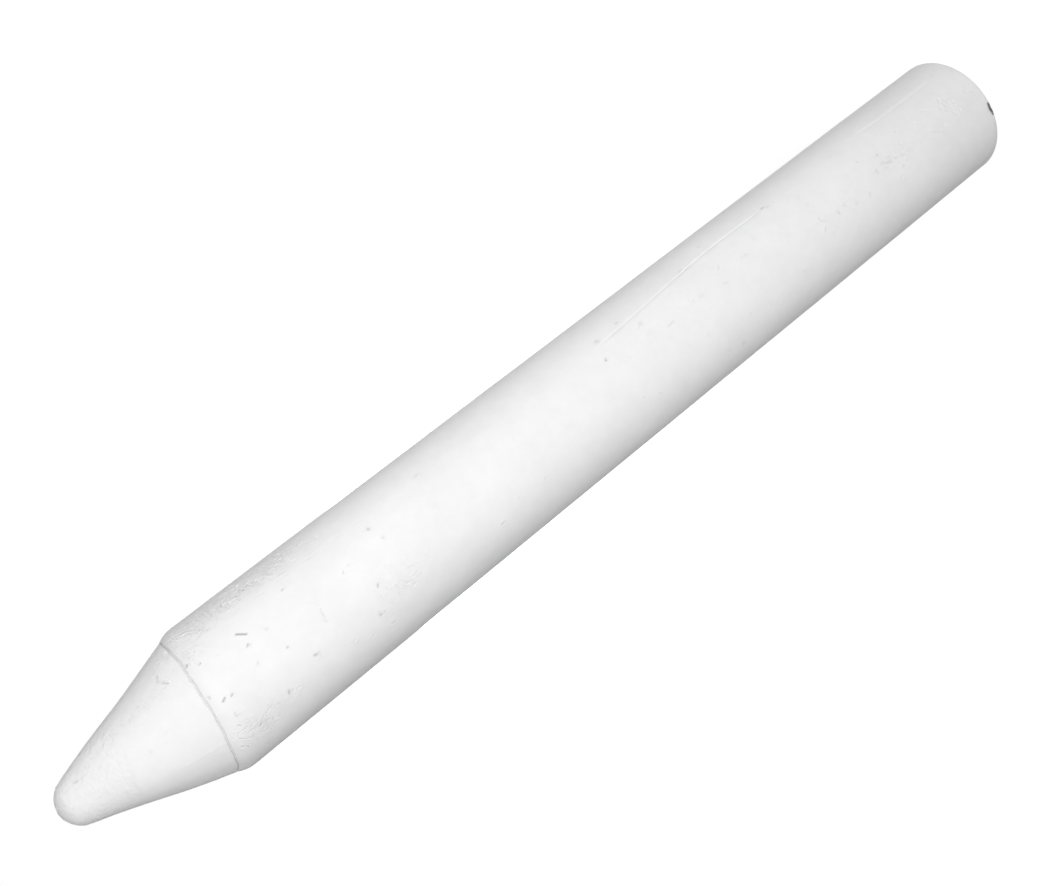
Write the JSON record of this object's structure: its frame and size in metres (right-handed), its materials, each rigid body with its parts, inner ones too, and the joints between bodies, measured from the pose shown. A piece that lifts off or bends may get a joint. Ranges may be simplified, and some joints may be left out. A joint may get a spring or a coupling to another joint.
{
  "type": "wax crayon",
  "caption": "Jumbo white wax crayon without its paper sleeve: a straight round barrel, a soft shoulder, a fine groove, and a conical point with a blunt, worn nose.",
  "frame": {"origin": "middle of the flat rear end, which the crayon stands on", "axes": "+Z along the crayon's axis, from the rear end to the nose; -Y is the front, with the chip in the rear rim 18 degrees from it towards -X and the mould seam 40 degrees from it towards +X"},
  "size_m": [0.0142, 0.0142, 0.1213],
  "materials": {
    "wax": "opaque white pigmented wax, cast, with a soft satin surface and small scuffs"
  },
  "bodies": {
    "root": {"crayon": "wax"}
  },
  "joints": []
}
